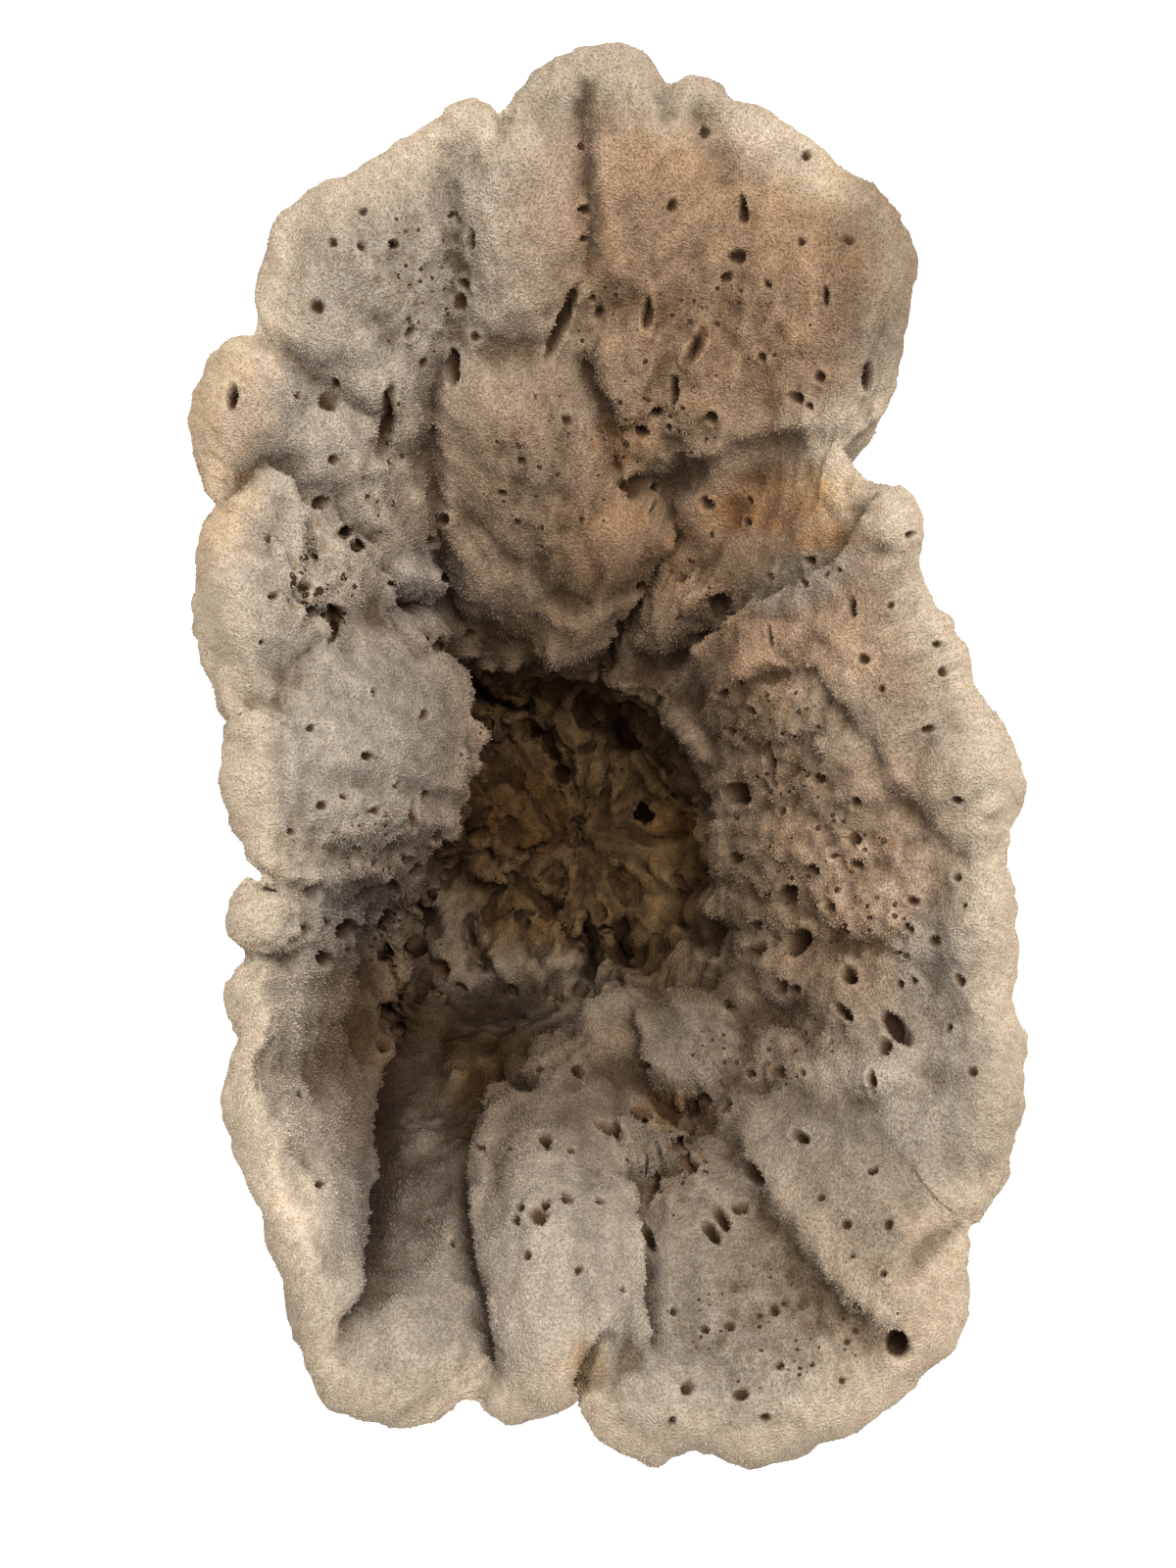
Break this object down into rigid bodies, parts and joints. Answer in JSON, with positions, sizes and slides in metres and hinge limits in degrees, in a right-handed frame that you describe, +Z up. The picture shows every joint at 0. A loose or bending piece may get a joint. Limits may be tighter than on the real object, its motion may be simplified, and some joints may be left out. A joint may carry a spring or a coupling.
{
  "type": "sea sponge",
  "caption": "Cup-shaped natural sea sponge with a lobed rim, a deep hollow, folds, lumps and open canals, cut flat at its foot so that it stands with its mouth up.",
  "frame": {"origin": "under the middle of the whole sponge, on the surface that its flat cut rests on", "axes": "+Z up out of the mouth, +Y along the mouth towards its long flared end, +X to the right of someone looking along +Y"},
  "size_m": [0.1382, 0.232, 0.1058],
  "materials": {
    "sponge_tissue": "matte, velvety with fine fibres"
  },
  "bodies": {
    "root": {"sponge": "sponge_tissue"}
  },
  "joints": []
}
